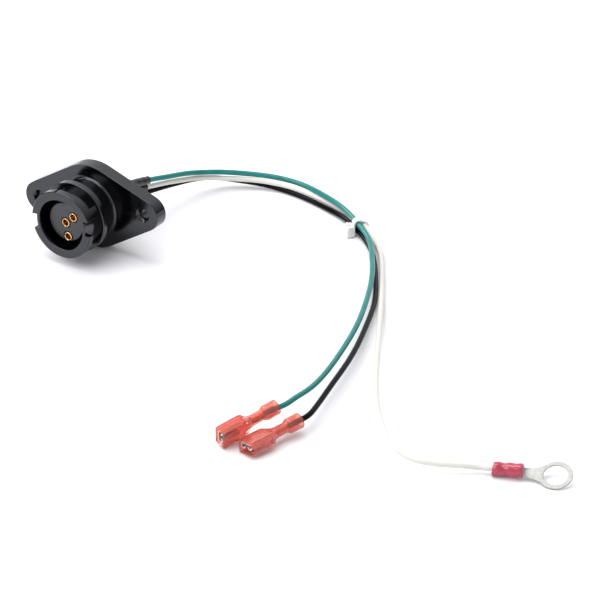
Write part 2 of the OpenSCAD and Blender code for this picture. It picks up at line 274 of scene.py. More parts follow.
def rounded(prof, radii, steps=4):
    """Rounds the inner corners of an open (r, a) outline by the radii given for each point."""
    out = []
    for i, p in enumerate(prof):
        q = radii[i] if i < len(radii) else 0
        if q <= 0 or i in (0, len(prof) - 1):
            out.append(p)
            continue
        p = np.array(p, float)
        a = np.array(prof[i - 1], float) - p
        b = np.array(prof[i + 1], float) - p
        la, lb = np.linalg.norm(a), np.linalg.norm(b)
        q = min(q, la * 0.49, lb * 0.49)
        s, e = p + a / la * q, p + b / lb * q
        for k in range(steps + 1):
            t = k / steps
            out.append(tuple((1 - t) ** 2 * s + 2 * t * (1 - t) * p + t * t * e))
    return out


def cut(o, cutters):
    """Takes the cutters out of o."""
    for c in cutters:
        b = o.modifiers.new("cut", "BOOLEAN")
        b.operation = "DIFFERENCE"
        b.solver = "EXACT"
        b.object = c
    settle(o)
    for c in cutters:
        me = c.data
        bpy.data.objects.remove(c)
        bpy.data.meshes.remove(me)
    return o


def bevel_weights(o, width, weight_of, segments=3):
    """Bevels the sharp edges of o. weight_of gives each edge's width from its two ends and whether it is a hollow one."""
    me = o.data
    bm = bmesh.new()
    bm.from_mesh(me)
    layer = bm.edges.layers.float.get("bevel_weight_edge") or bm.edges.layers.float.new("bevel_weight_edge")
    for e in bm.edges:
        turned = e.calc_face_angle_signed(0) if len(e.link_faces) == 2 else 0.0
        if abs(turned) > math.radians(38):
            e[layer] = min(1.0, weight_of(e.verts[0].co, e.verts[1].co, turned < 0) / width)
    bm.to_mesh(me)
    bm.free()
    b = o.modifiers.new("edges", "BEVEL")
    b.limit_method = "WEIGHT"
    b.width = width
    b.segments = segments
    b.use_clamp_overlap = False
    b.loop_slide = True
    return settle(o)


# ------------------------------------------------------------------ lead routes
def smooth_line(points, step):
    """A clamped cubic through the points by chord length, sampled every step."""
    p = np.array(points, float)
    h = np.linalg.norm(np.diff(p, axis=0), axis=1)
    n = len(p)
    a = np.zeros((n, n))
    b = np.zeros((n, 3))
    d = np.diff(p, axis=0) / h[:, None]
    a[0, 0], a[0, 1] = 2 * h[0], h[0]
    b[0] = 6 * (d[0] - d[0])
    a[-1, -1], a[-1, -2] = 2 * h[-1], h[-1]
    b[-1] = 6 * (d[-1] - d[-1])
    for i in range(1, n - 1):
        a[i, i - 1], a[i, i], a[i, i + 1] = h[i - 1], 2 * (h[i - 1] + h[i]), h[i]
        b[i] = 6 * (d[i] - d[i - 1])
    m = np.linalg.solve(a, b)
    fine = []
    for i in range(n - 1):
        for t in np.linspace(0, h[i], 40, endpoint=False):
            u = h[i] - t
            fine.append(m[i] * u ** 3 / (6 * h[i]) + m[i + 1] * t ** 3 / (6 * h[i])
                        + (p[i] / h[i] - m[i] * h[i] / 6) * u + (p[i + 1] / h[i] - m[i + 1] * h[i] / 6) * t)
    fine.append(p[-1])
    fine = np.array(fine)
    s = np.r_[0, np.cumsum(np.linalg.norm(np.diff(fine, axis=0), axis=1))]
    k = max(2, int(round(s[-1] / step)) + 1)
    want = np.linspace(0, s[-1], k)
    line = np.stack([np.interp(want, s, fine[:, c]) for c in range(3)], 1)
    line[:, 2] = np.maximum(line[:, 2], WIRE_R + 0.01)
    return line


class Line:
    """A sampled centre line with a frame that doesn't twist along it."""

    def __init__(self, pts):
        self.p = pts
        d = np.gradient(pts, axis=0)
        self.t = d / np.linalg.norm(d, axis=1)[:, None]
        self.s = np.r_[0, np.cumsum(np.linalg.norm(np.diff(pts, axis=0), axis=1))]
        u = np.cross(self.t[0], (1.0, 0.0, 0.0))
        u /= np.linalg.norm(u)
        us = [u]
        for i in range(1, len(pts)):
            u = us[-1] - self.t[i] * np.dot(us[-1], self.t[i])
            us.append(u / np.linalg.norm(u))
        self.u = np.array(us)
        self.v = np.cross(self.t, self.u)

    def frame(self, s):
        """Point, tangent and the two cross directions at length s. Past an end it runs straight on."""
        q = min(max(s, 0.0), self.s[-1])
        f = [np.array([np.interp(q, self.s, w[:, c]) for c in range(3)]) for w in (self.p, self.t, self.u, self.v)]
        for k in (1, 2, 3):
            f[k] = f[k] / np.linalg.norm(f[k])
        f[0] = f[0] + f[1] * (s - q)
        return f

    def ring(self, s, r, n, wobble=None):
        p, t, u, v = self.frame(s)
        out = []
        for i in range(n):
            a = 2 * math.pi * i / n
            rr = r if wobble is None else r + wobble(s, a)
            out.append(tuple(p + rr * (math.cos(a) * u + math.sin(a) * v)))
        return out


def route(first, free, m, tail):
    """The cup end, a straight start, the free points, and the last points inside a terminal."""
    a = at(SEAT, CONTACTS[first][0], 31.0, CONTACTS[first][1])
    return [a, a + np.array((0, 1.2, 0))] + [np.array(p, float) for p in free] + [at(m, *p) for p in tail]


tab_tail = [(TAB_LEN + 3, 0, 0), (TAB_LEN, 0, 0), (18.7, 0, 0)]
low_tail = [(TAB_LEN + 3, -1.25, 0), (TAB_LEN, -0.75, 0), (18.7, 0, 0)]
ring_tail = [(RING_REAR - 4, 0, RING_Z), (RING_REAR, 0, RING_Z), (-19.4, 0, RING_Z)]
ROUTES = {
    "green": route(0, [
        (3.6, 23, 18), (4.5, 32, 16), (5.8, 42.6, 13.3), (7.1, 51.6, 11.1), (9.7, 59.4, 9.1),
        (13.9, 66, 7.6), (20, 72.1, 6.2), (28.4, 77.4, 5.1), (39.4, 79.8, 4.4), (49.8, 77.8, 4.5),
        (60.9, 74.1, 4.5), (69.1, 69.8, 4.6), (76.1, 65.2, 4.5), (85.5, 58.1, 4.1), (92.8, 49.1, 3.9),
        (101.5, 36, 4), (110.1, 19.4, 4), (117.3, 2.4, 4), (123.2, -15.7, 4.3), (128.4, -35, 5.1),
        (130.5, -48.3, 6.1), (130.8, -56, 6.9)],
        GREEN, low_tail),
    "white": route(1, [
        (1, 23, 15), (3.6, 31.5, 13.1), (4.9, 39.6, 11.4), (6.4, 50.2, 8.8), (9.2, 59, 6.8),
        (15.3, 66.8, 5), (23.2, 73.2, 3.9), (33.1, 77, 3.3), (43.6, 77.6, 3), (55.4, 76.3, 2.2),
        (65.8, 73.2, 2.2), (76.6, 67.7, 3.6), (83.6, 62.4, 2.9), (89.5, 58.2, 2), (97, 49.2, 1.2),
        (103.8, 39, 1.3), (125.9, 3.6, 3), (140.8, -20.8, 4), (155.1, -41.7, 4.4), (162.8, -50.7, 4.4),
        (172.3, -58.9, 4.2), (182.1, -62.4, 3.8), (190.2, -60, 3.3), (198.3, -55.3, 2.9)],
        RING, ring_tail),
    "black": route(2, [
        (1.6, 24, 10.8), (2.6, 32.5, 9.9), (3.9, 41.5, 8.7), (5, 50, 7.2), (7.3, 59.1, 5.8),
        (11.2, 66, 4.4), (16, 70.6, 3), (24, 75.2, 1.8), (34.5, 77.2, 1.2), (46, 76.3, 1.1),
        (57, 73.8, 1.2), (67.5, 70, 1.7), (75.3, 65.4, 1.9), (85.5, 58.2, 1.25), (99.5, 41.2, 1.1),
        (110, 24.9, 1.5), (118.9, 6.2, 2.7), (125.4, -9.8, 3.6), (129.5, -21.8, 4.2), (134.6, -40.4, 4.8),
        (138.5, -55.8, 4.9)],
        BLACK, tab_tail),
}
LINES = {k: Line(smooth_line(v, 0.7)) for k, v in ROUTES.items()}


# ------------------------------------------------------------------ materials
def nodes_of(name):
    mat = bpy.data.materials.new(name)
    mat.use_nodes = True
    nt = mat.node_tree
    return mat, nt, nt.nodes["Principled BSDF"]


def noise(nt, scale, detail=3.0, rough=0.55, stretch=None):
    """Noise in the row frame, scale in features per metre."""
    co = nt.nodes.new("ShaderNodeTexCoord")
    out = co.outputs["Object"]
    if stretch is not None:
        mp = nt.nodes.new("ShaderNodeMapping")
        mp.inputs["Scale"].default_value = stretch
        nt.links.new(out, mp.inputs["Vector"])
        out = mp.outputs["Vector"]
    n = nt.nodes.new("ShaderNodeTexNoise")
    n.inputs["Scale"].default_value = scale
    n.inputs["Detail"].default_value = detail
    n.inputs["Roughness"].default_value = rough
    nt.links.new(out, n.inputs["Vector"])
    return n.outputs["Fac"]


def ramp(nt, fac, stops):
    r = nt.nodes.new("ShaderNodeValToRGB")
    els = r.color_ramp.elements
    while len(els) < len(stops):
        els.new(0.5)
    for e, (p, c) in zip(els, stops):
        e.position = p
        e.color = (*c, 1.0)
    nt.links.new(fac, r.inputs["Fac"])
    return r.outputs["Color"]


def spread(nt, fac, lo, hi, a=0.3, b=0.7):
    m = nt.nodes.new("ShaderNodeMapRange")
    m.inputs["From Min"].default_value = a
    m.inputs["From Max"].default_value = b
    m.inputs["To Min"].default_value = lo
    m.inputs["To Max"].default_value = hi
    nt.links.new(fac, m.inputs["Value"])
    return m.outputs["Result"]


def bump(nt, bsdf, layers):
    """Stacks bumps from (height, strength, distance in metres)."""
    last = None
    for h, strength, dist in layers:
        b = nt.nodes.new("ShaderNodeBump")
        b.inputs["Strength"].default_value = strength
        b.inputs["Distance"].default_value = dist
        nt.links.new(h, b.inputs["Height"])
        if last is not None:
            nt.links.new(last, b.inputs["Normal"])
        last = b.outputs["Normal"]
    nt.links.new(last, bsdf.inputs["Normal"])


def edge_wear_and_highlight(nt, colour, wear_and_highlight, lo=0.52, hi=0.62):
    """Lets a lighter colour through on outer, convex edges: partly rubbed wear, partly a painted highlight along the
    edges.
    """
    g = nt.nodes.new("ShaderNodeNewGeometry")
    f = spread(nt, g.outputs["Pointiness"], 0.0, 1.0, lo, hi)
    m = nt.nodes.new("ShaderNodeMix")
    m.data_type = "RGBA"
    nt.links.new(f, m.inputs["Factor"])
    nt.links.new(colour, m.inputs["A"])
    m.inputs["B"].default_value = (*wear_and_highlight, 1.0)
    return m.outputs["Result"]


def plastic(name, dark, light, rough, grain, grain_depth, wear_and_highlight=None, ior=1.57, mottle=260.0, extra=None, wave=0.00006):
    mat, nt, b = nodes_of(name)
    c = ramp(nt, noise(nt, mottle, 4.0), [(0.3, dark), (0.7, light)])
    if wear_and_highlight is not None:
        c = edge_wear_and_highlight(nt, c, wear_and_highlight)
    nt.links.new(c, b.inputs["Base Color"])
    nt.links.new(spread(nt, noise(nt, 900.0, 5.0, 0.65), rough[0], rough[1]), b.inputs["Roughness"])
    layers = [(noise(nt, grain, 2.0), 0.35, grain_depth), (noise(nt, 180.0, 2.0), 0.25, wave)]
    bump(nt, b, layers)
    b.inputs["IOR"].default_value = ior
    for k, v in (extra or {}).items():
        b.inputs[k].default_value = v
    return mat


def metal(name, dark, light, rough, grain, depth, wear_and_highlight=None, stretch=None):
    mat, nt, b = nodes_of(name)
    c = ramp(nt, noise(nt, 700.0, 4.0), [(0.3, dark), (0.7, light)])
    if wear_and_highlight is not None:
        c = edge_wear_and_highlight(nt, c, wear_and_highlight)
    nt.links.new(c, b.inputs["Base Color"])
    nt.links.new(spread(nt, noise(nt, 1500.0, 5.0, 0.6), rough[0], rough[1]), b.inputs["Roughness"])
    bump(nt, b, [(noise(nt, grain, 3.0, 0.6, stretch), 0.35, depth)])
    b.inputs["Metallic"].default_value = 1.0
    return mat


M = {}
# The edge colours given below are lighter than the base and go onto convex edges: partly rubbed wear, partly painted
# highlight.
M["shell"] = plastic("shell_black", (0.0005, 0.0005, 0.0007), (0.0012, 0.0012, 0.0016), (0.13, 0.19), 5200.0, 0.000005,
                     wear_and_highlight=(0.004, 0.004, 0.005), ior=1.61, wave=0.00002, extra={"Specular Tint": (0.88, 0.91, 1.0, 1.0)})
M["core"] = plastic("core_black", (0.002, 0.002, 0.0026), (0.0045, 0.0045, 0.0055), (0.28, 0.38), 6500.0, 0.000006,
                    wear_and_highlight=(0.007, 0.007, 0.0085), ior=1.66, wave=0.00002, extra={"Specular Tint": (0.90, 0.92, 1.0, 1.0)})
M["gold"] = metal("contact_gold", (0.83, 0.47, 0.14), (0.98, 0.66, 0.27), (0.16, 0.28), 2600.0, 0.000008, wear_and_highlight=(1.0, 0.80, 0.46))
# Painted shade: inside the contact bores the gold is shown as a deep non-metallic red, for the dim, reddened light deep
# in the holes.
M["gold_bore"] = plastic("contact_bore", (0.78, 0.050, 0.008), (0.90, 0.085, 0.014), (0.3, 0.42), 2600.0, 0.000008)
M["shrink"] = plastic("shrink_black", (0.0018, 0.0018, 0.0024), (0.004, 0.004, 0.005), (0.20, 0.30), 1400.0, 0.00002,
                      wear_and_highlight=(0.015, 0.015, 0.017), ior=1.55)
M["green"] = plastic("pvc_green", (0.004, 0.158, 0.144), (0.009, 0.198, 0.182), (0.14, 0.20), 2200.0, 0.000008, ior=1.40)
M["white"] = plastic("pvc_white", (0.635, 0.626, 0.572), (0.675, 0.667, 0.612), (0.28, 0.38), 2200.0, 0.000010, ior=1.5)
M["black"] = plastic("pvc_black", (0.0010, 0.0010, 0.0018), (0.0026, 0.0026, 0.0040), (0.10, 0.15), 2200.0, 0.000005, ior=1.19)
M["tie"] = plastic("nylon_natural", (0.705, 0.708, 0.683), (0.765, 0.768, 0.743), (0.30, 0.42), 2600.0, 0.000012, ior=1.5,
                   extra={"Subsurface Weight": 0.4, "Subsurface Radius": (1.0, 0.95, 0.85), "Subsurface Scale": 0.001})
M["nylon"] = plastic("nylon_red", (0.905, 0.270, 0.205), (0.945, 0.345, 0.275), (0.10, 0.17), 1500.0, 0.000008, ior=1.45,
                     extra={"Transmission Weight": 0.84}, wave=0.00003)
M["sleeve"] = plastic("sleeve_red", (0.46, 0.024, 0.064), (0.58, 0.046, 0.100), (0.10, 0.17), 1300.0, 0.000006, ior=1.5, wave=0.00003,
                      extra={"Transmission Weight": 0.25, "Coat Weight": 0.5, "Coat Roughness": 0.05})
M["tin"] = metal("tinned", (0.42, 0.42, 0.405), (0.51, 0.51, 0.492), (0.58, 0.70), 3200.0, 0.000010, wear_and_highlight=(0.52, 0.52, 0.50))
# Painted light: a much lighter copy of the tinned finish, for the terminals seen through the red housings, so that they
# read bright there.
M["tin_tab"] = metal("tinned_tab_painted_light", (0.84, 0.84, 0.82), (0.92, 0.92, 0.90), (0.30, 0.42), 3200.0, 0.000008, wear_and_highlight=(0.97, 0.97, 0.95))
M["copper"] = metal("strand_copper", (0.62, 0.25, 0.12), (0.80, 0.38, 0.20), (0.24, 0.36), 2400.0, 0.00004)
M["brass"] = metal("sleeve_brass", (0.80, 0.56, 0.26), (0.92, 0.70, 0.38), (0.22, 0.34), 2400.0, 0.000015)
M["spring"] = metal("spring_steel", (0.10, 0.10, 0.105), (0.18, 0.18, 0.19), (0.3, 0.42), 3000.0, 0.00001)


def finish_piece(o, mats, slot, *nodes):
    o.data.materials.clear()
    for m in (mats if isinstance(mats, (list, tuple)) else [mats]):
        o.data.materials.append(m)
    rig.ride(o, "root")
    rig.replaces(o, *nodes)
    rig.slot(o, slot)
    return o


def paint(node, mat):
    o = frame["nodes"][node]
    o.data.materials.clear()
    o.data.materials.append(mat)
    for p in o.data.polygons:
        p.material_index = 0
    return o


# ------------------------------------------------------------------ leads
def lead(colour):
    line = LINES[colour]
    bm = bmesh.new()
    rings = [line.ring(s, WIRE_R, 18) for s in line.s]
    loft(bm, rings, cap=(True, True))
    o = new_object("lead_" + colour, bm, Matrix.Identity(4))
    smooth(o, 50, weighted=False)
    return finish_piece(o, M[colour], "pvc_" + colour, "wire_" + colour)


leads = {k: lead(k) for k in ("green", "white", "black")}


# ------------------------------------------------------------------ receptacle shell
def flange_radius(t):
    """Outline of the flange as a radius over the angle t in degrees."""
    t = abs((t + 90) % 180 - 90)
    c = math.radians(t)
    if t <= 11.578:
        return 24.3 * math.cos(c) + math.sqrt(max(0.0, 6.1 ** 2 - (24.3 * math.sin(c)) ** 2))
    if t < 64.66:
        return 16.5 / math.cos(math.radians(t - 64.66))
    return 16.5


def build_shell():
    end = [math.degrees(math.atan2(6.1 * math.sin(math.radians(f)), 24.3 + 6.1 * math.cos(math.radians(f))))
           for f in (7, 14, 21, 28, 35, 42, 49, 56, 64.66)]
    notch = math.degrees(math.asin(2.8 / 13.2))
    quarter = end + [17.5, 20.5, 23.6, 26.7, 30, 33, 36, 39, 42, 45, 48, 51, 54, 57, 60.5, 64.66,
                     67, 70, 73, 76, 79, 82, 85]
    lines = [(0.0, None), (180.0, None), (270.0, None), (267.3, None), (272.7, None)]
    for q in quarter:
        lines += [(q, None), (180 - q, None), (180 + q, None), (360 - q, None)]
    for base, sgn in ((0, 1), (180, -1), (180, 1), (360, -1)):
        lines.append((base + sgn * notch, (base, sgn)))
    for q in (87.4, 89.8, 92.0, 94.2, 97.2 - 0.01):
        lines.append((q, None))
    lines = sorted(l for l in lines)
    kept = []
    for l in lines:
        if kept and l[0] - kept[-1][0] < 0.9:
            if l[1] is not None or l[0] in (89.8, 94.2):
                kept[-1] = l
            continue
        kept.append(l)
    lines = kept
    rl = [8.4, 9.75, 10.4, 11.0, 12.75, 13.2, 13.5, None]
    yl = [0.0, 2.4, 8.0, 10.5, 13.2, 14.4, 18.1, 20.0, 23.5, 28.0]
    inner = [9.75, 9.75, 9.75, 9.75, 10.4, 9.75, 9.75, 8.4, 8.4]
    outer = [13.2, 11.0, 13.5, 11.0, 11.0, 11.0, 99.0, 99.0, 10.4]
    n = len(lines)

    def filled(i, j, k):
        if j < 0 or j >= len(yl) - 1 or k < 0 or k >= len(rl) - 1:
            return False
        a = lines[i % n][0]
        b = lines[(i + 1) % n][0] + (360 if i % n == n - 1 else 0)
        m = (a + b) / 2
        top = outer[j]
        near = abs((m + 90) % 180 - 90)
        if j == 0 and near < notch:
            top = 11.0
        if j == 0 and 89.8 < m < 94.2:
            top = 12.75
        if j == 1 and notch < (m % 180) < 30:
            top = 12.75
        lo = rl[k]
        hi = rl[k + 1] if rl[k + 1] is not None else 50.0
        return lo >= inner[j] - 1e-6 and hi <= top + 1e-6

    bm = bmesh.new()
    made = {}

    def vert(i, j, k):
        i %= n
        if (i, j, k) not in made:
            ang, kind = lines[i]
            r = rl[k] if rl[k] is not None else flange_radius(ang)
            if kind is not None:
                ang = kind[0] + kind[1] * math.degrees(math.asin(2.8 / min(max(r, 11.0), 13.2)))
            t = math.radians(ang)
            made[(i, j, k)] = bm.verts.new((r * math.cos(t), yl[j], r * math.sin(t)))
        return made[(i, j, k)]

    for i in range(n):
        for j in range(len(yl) - 1):
            for k in range(len(rl) - 1):
                if not filled(i, j, k):
                    continue
                if not filled(i, j, k + 1):
                    bm.faces.new([vert(i, j, k + 1), vert(i + 1, j, k + 1), vert(i + 1, j + 1, k + 1), vert(i, j + 1, k + 1)])
                if not filled(i, j, k - 1):
                    bm.faces.new([vert(i, j, k), vert(i + 1, j, k), vert(i + 1, j + 1, k), vert(i, j + 1, k)])
                if not filled(i, j - 1, k):
                    bm.faces.new([vert(i, j, k), vert(i + 1, j, k), vert(i + 1, j, k + 1), vert(i, j, k + 1)])
                if not filled(i, j + 1, k):
                    bm.faces.new([vert(i, j + 1, k), vert(i + 1, j + 1, k), vert(i + 1, j + 1, k + 1), vert(i, j + 1, k + 1)])
                if not filled(i - 1, j, k):
                    bm.faces.new([vert(i, j, k), vert(i, j + 1, k), vert(i, j + 1, k + 1), vert(i, j, k + 1)])
                if not filled(i + 1, j, k):
                    bm.faces.new([vert(i + 1, j, k), vert(i + 1, j + 1, k), vert(i + 1, j + 1, k + 1), vert(i + 1, j, k + 1)])
    o = new_object("receptacle_shell", bm)

    def width(a, b, hollow):
        ra, rb = math.hypot(a.x, a.z), math.hypot(b.x, b.z)
        y = (a.y + b.y) / 2
        if hollow:
            # the fillet where the barrel meets the flange; other hollow edges stay sharp
            if abs(a.y - 18.1) < 1e-3 and abs(b.y - 18.1) < 1e-3 and max(ra, rb) < 11.1:
                return 1.2
            return 0.0
        round_edge = abs(a.y - b.y) < 1e-4 and abs(ra - rb) < 1.6
        if round_edge and min(ra, rb) > 14.5:
            return 0.2 if y < 19 else 0.18
        if round_edge and y < 0.01:
            if ra > 13 and rb > 13:
                return 0.34
            return 0.28 if min(ra, rb) < 10.2 else 0.2
        if round_edge and abs(y - 2.4) < 0.01:
            return 0.24
        if round_edge and 7.9 < y < 10.6:
            return 0.32
        if round_edge and abs(y - 28) < 0.01:
            return 0.45
        return 0.17

    bevel_weights(o, 1.2, width, 4)
    cutters = []
    for s in (-1, 1):
        c = bmesh.new()
        lathe(c, [(0, 16.5), (4.6, 16.5), (2.95, 18.05), (2.72, 18.32), (1.98, 19.06), (1.9, 19.3), (1.9, 23.2), (2.15, 23.52), (2.6, 24.2), (0, 24.2)],
              "y", 48)
        q = new_object("hole_cutter", c)
        q.data.transform(Matrix.Translation((s * 23.8, 0, 0)))
        cutters.append(q)
    cut(o, cutters)
    o.data.transform(MM @ SEAT)
    smooth(o, 34)
    return finish_piece(o, M["shell"], "shell_black", "shell_barrel", "shell_flange")


shell = build_shell()


# ------------------------------------------------------------------ contact core, contacts, rear disc
def build_core():
    bm = bmesh.new()
    prof = [(0, 3.2), (7.35, 3.2), (7.7, 3.5), (7.7, 14.5), (9.65, 14.5), (9.65, 19.95), (8.3, 19.95), (8.3, 25.9), (0, 25.9)]
    lathe(bm, rounded(prof, [0, 0.3, 0.25, 0, 0.2, 0.2, 0, 0.2, 0]), "y", 128)
    o = new_object("contact_core", bm)
    cutters = []
    for x, z in CONTACTS:
        c = bmesh.new()
        lathe(c, [(0, 1), (2.5, 1), (2.32, 3.1), (2.2, 3.22), (2.05, 3.4), (2.05, 3.8), (1.76, 3.8), (1.76, 12), (2.16, 12), (2.16, 27), (0, 27)], "y", 48)
        q = new_object("socket_cutter", c)
        q.data.transform(Matrix.Translation((x, 0, z)))
        cutters.append(q)
    cut(o, cutters)
    o.data.transform(MM @ SEAT)
    smooth(o, 34)
    return finish_piece(o, M["core"], "core_black", "contact_insert")


core = build_core()


def build_contact(name, x, z, node):
    bm = bmesh.new()
    prof = [(0, 8), (1.15, 8), (1.15, 3.42), (1.27, 3.12), (1.4, 3.0), (1.52, 3.02), (1.64, 3.12), (1.7, 3.34), (1.7, 12.05), (2.1, 12.05),
            (2.1, 25.9), (1.5, 25.9), (1.5, 30.85), (1.4, 31), (1.02, 31), (0.95, 30.9), (0.95, 26), (0, 26)]
    lathe(bm, prof, "y", 48)
    o = new_object(name, bm)
    # Faces inside the bore take the second material, the painted shade of the deep gold bore.
    for p in o.data.polygons:
        c = p.center
        p.material_index = 1 if 3.2 < c.y < 12.5 and math.hypot(c.x, c.z) < 1.3 else 0
    o.data.transform(MM @ SEAT @ Matrix.Translation((x, 0, z)))
    smooth(o, 40)
    return finish_piece(o, [M["gold"], M["gold_bore"]], "contact_gold", node)


for (x, z), k in zip(CONTACTS, ("green", "white", "black")):
    build_contact("socket_contact_" + k, x, z, "contact_" + k)


def build_retainer():
    bm = bmesh.new()
    prof = [(0, 26.05), (8.3, 26.05), (8.3, 28), (7.4, 28), (7.2, 27.8), (0, 27.8)]
    lathe(bm, rounded(prof, [0, 0, 0.35, 0.1, 0.1, 0]), "y", 128)
    o = new_object("rear_disc", bm)
    cutters = []
    for x, z in CONTACTS:
        c = bmesh.new()
        lathe(c, [(0, 25), (1.56, 25), (1.56, 27.6), (1.8, 27.82), (2.3, 28.6), (0, 28.6)], "y", 48)
        q = new_object("disc_cutter", c)
        q.data.transform(Matrix.Translation((x, 0, z)))
        cutters.append(q)
    cut(o, cutters)
    o.data.transform(MM @ SEAT)
    smooth(o, 34)
    return finish_piece(o, M["core"], "core_black", "contact_retainer")


build_retainer()
paint("insert_retaining_ring", M["spring"])
paint("conductor_tails", M["copper"])


# ------------------------------------------------------------------ shrink sleeves
def build_shrink(colour):
    """A sleeve shrunk over the solder cup and the start of the lead, with a soft rolled end."""
    line = LINES[colour]
    end = float(np.interp(ROUTES[colour][3][1], line.p[:80, 1], line.s[:80]))
    seed = {"green": 0.3, "white": 1.7, "black": 2.9}[colour]

    def wave(s, a):
        return 0.035 * math.sin(1.9 * s + seed + 1.2 * math.sin(a)) + 0.03 * math.sin(2 * a + 0.7 * s + seed)

    out = [(-2.65, 1.9), (-2.55, 2.0), (-1.2, 2.03), (0.1, 2.02), (0.7, 1.93), (1.4, 1.74), (2.2, 1.62)]
    s = 3.0
    while s < end - 0.6:
        out.append((s, 1.58))
        s += 0.6
    out += [(end - 0.35, 1.6), (end - 0.12, 1.57), (end, 1.46), (end, 1.2)]
    inn = [(end - 0.08, 1.04), (2.2, 1.04), (1.4, 1.1), (0.6, 1.5), (0.1, 1.58), (-2.65, 1.58)]
    bm = bmesh.new()
    rings = [line.ring(s, r, 28, wave if 0.5 < s < end - 0.3 else None) for s, r in out]
    rings += [line.ring(s, r, 28) for s, r in inn]
    loft(bm, rings, close=True)
    o = new_object("shrink_sleeve_" + colour, bm, Matrix.Identity(4))
    smooth(o, 45, weighted=False)
    return finish_piece(o, M["shrink"], "shrink_black", "heat_shrink_" + colour)


shrinks = {k: build_shrink(k) for k in ("green", "white", "black")}


# ------------------------------------------------------------------ cable tie
TIE = Matrix.Translation((75.8, 66.1, 0)) @ Matrix.Rotation(math.radians(-35.7), 4, "Z")


def build_tie():
    """Local x along the leads, y across them, z up."""
    circles = [(-0.9, 1.88, 1.1), (1.69, 3.54, 1.12), (-0.59, 4.51, 1.08)]
    base = []
    for i in range(160):
        a = 2 * math.pi * i / 160
        n = np.array((math.cos(a), math.sin(a)))
        c = max(circles, key=lambda q: q[0] * n[0] + q[1] * n[1] + q[2])
        base.append((np.array(c[:2]) + c[2] * n, n))
    # long straight sides get points of their own
    dense = []
    for (p, n), (p2, n2) in zip(base, base[1:] + base[:1]):
        dense.append((p, n))
        d = np.linalg.norm(p2 - p)
        for k in range(1, int(d / 0.25)):
            t = k / int(d / 0.25)
            m = n * (1 - t) + n2 * t
            dense.append((p * (1 - t) + p2 * t, m / np.linalg.norm(m)))
    bm = bmesh.new()
    w, t = 1.3, 0.75
    section = [(0.0, -w + 0.22), (0.06, -w + 0.06), (0.22, -w), (t - 0.22, -w), (t - 0.06, -w + 0.06), (t, -w + 0.24),
               (t + 0.02, -0.45), (t - 0.05, -0.3), (t - 0.05, 0.3), (t + 0.02, 0.45),
               (t, w - 0.24), (t - 0.06, w - 0.06), (t - 0.22, w), (0.22, w), (0.06, w - 0.06), (0.0, w - 0.22)]
    rings = [[(px, p[0] + n[0] * g, p[1] + n[1] * g) for g, px in section] for p, n in dense]
    loft(bm, rings, close=True)
    strap = new_object("tie_strap", bm)
    # head: a rounded block, waisted a little, with a slot through it for the strap's end
    bm = bmesh.new()
    rings = []
    for z, gx, gy in ((0.12, 1.75, 1.25), (0.3, 2.0, 1.52), (0.7, 2.14, 1.64), (2.3, 2.2, 1.7), (3.9, 2.14, 1.64), (4.35, 1.98, 1.5), (4.55, 1.72, 1.22)):
        ring = []
        for sx, sy in ((1, 1), (-1, 1), (-1, -1), (1, -1)):
            for k in range(6):
                q = math.pi / 2 * ({(1, 1): 0, (-1, 1): 1, (-1, -1): 2, (1, -1): 3}[(sx, sy)] + k / 5)
                rc = 0.5
                ring.append((0.5 + sx * (gx + 0.06 - rc) + rc * math.cos(q), -4.0 + sy * (gy - rc) + rc * math.sin(q), z))
        rings.append(ring)
    loft(bm, rings, cap=(True, True))
    head = new_object("tie_head", bm)
    bm = bmesh.new()
    bmesh.ops.create_cube(bm, size=1)
    bmesh.ops.scale(bm, vec=(2.9, 1.25, 7), verts=bm.verts)
    bmesh.ops.translate(bm, vec=(0.1, -4.35, 2.3), verts=bm.verts)
    cut(head, [new_object("slot_cutter", bm)])
    # trimmed end of the strap in the slot
    bm = bmesh.new()
    rings = []
    for z, q in ((0.4, 0.0), (4.55, 0.0), (4.88, 0.02), (4.97, 0.1)):
        pts = [(-1.15 + q, -0.36), (-1.25 + q, -0.26 + q), (-1.25 + q, 0.26 - q), (-1.15 + q, 0.36 - q), (1.15 - q, 0.36 - q), (1.25 - q, 0.26 - q), (1.25 - q, -0.26 + q), (1.15 - q, -0.36 + q)]
        rings.append([(0.1 + x, -4.4 + y, z) for x, y in pts])
    loft(bm, rings, cap=(True, True))
    tail = new_object("tie_tail", bm)
    # join the three into one piece
    bm = bmesh.new()
    for o in (strap, head, tail):
        bm.from_mesh(o.data)
    for o in (strap, head, tail):
        bpy.data.objects.remove(o)
    o = new_object("lead_tie", bm, TIE)
    smooth(o, 40)
    return finish_piece(o, M["tie"], "nylon_natural", "cable_tie")


tie = build_tie()


# ------------------------------------------------------------------ insulated tab receptacles
def rrect(hy, hz, rc, k=7, m=3):
    """A rounded rectangle as points (y, z): k per corner and m along each side."""
    rc = min(rc, hy, hz)
    pts = []
    corners = ((1, 1, 0), (-1, 1, 1), (-1, -1, 2), (1, -1, 3))
    for c, (sy, sz, q) in enumerate(corners):
        arc = []
        for i in range(k):
            a = math.pi / 2 * (q + i / (k - 1))
            arc.append((sy * (hy - rc) + rc * math.cos(a), sz * (hz - rc) + rc * math.sin(a)))
        pts += arc
        ny, nz, nq = corners[(c + 1) % 4]
        a = math.pi / 2 * nq
        nxt = (ny * (hy - rc) + rc * math.cos(a), nz * (hz - rc) + rc * math.sin(a))
        for i in range(1, m + 1):
            t = i / (m + 1)
            pts.append((arc[-1][0] * (1 - t) + nxt[0] * t, arc[-1][1] * (1 - t) + nxt[1] * t))
    return pts


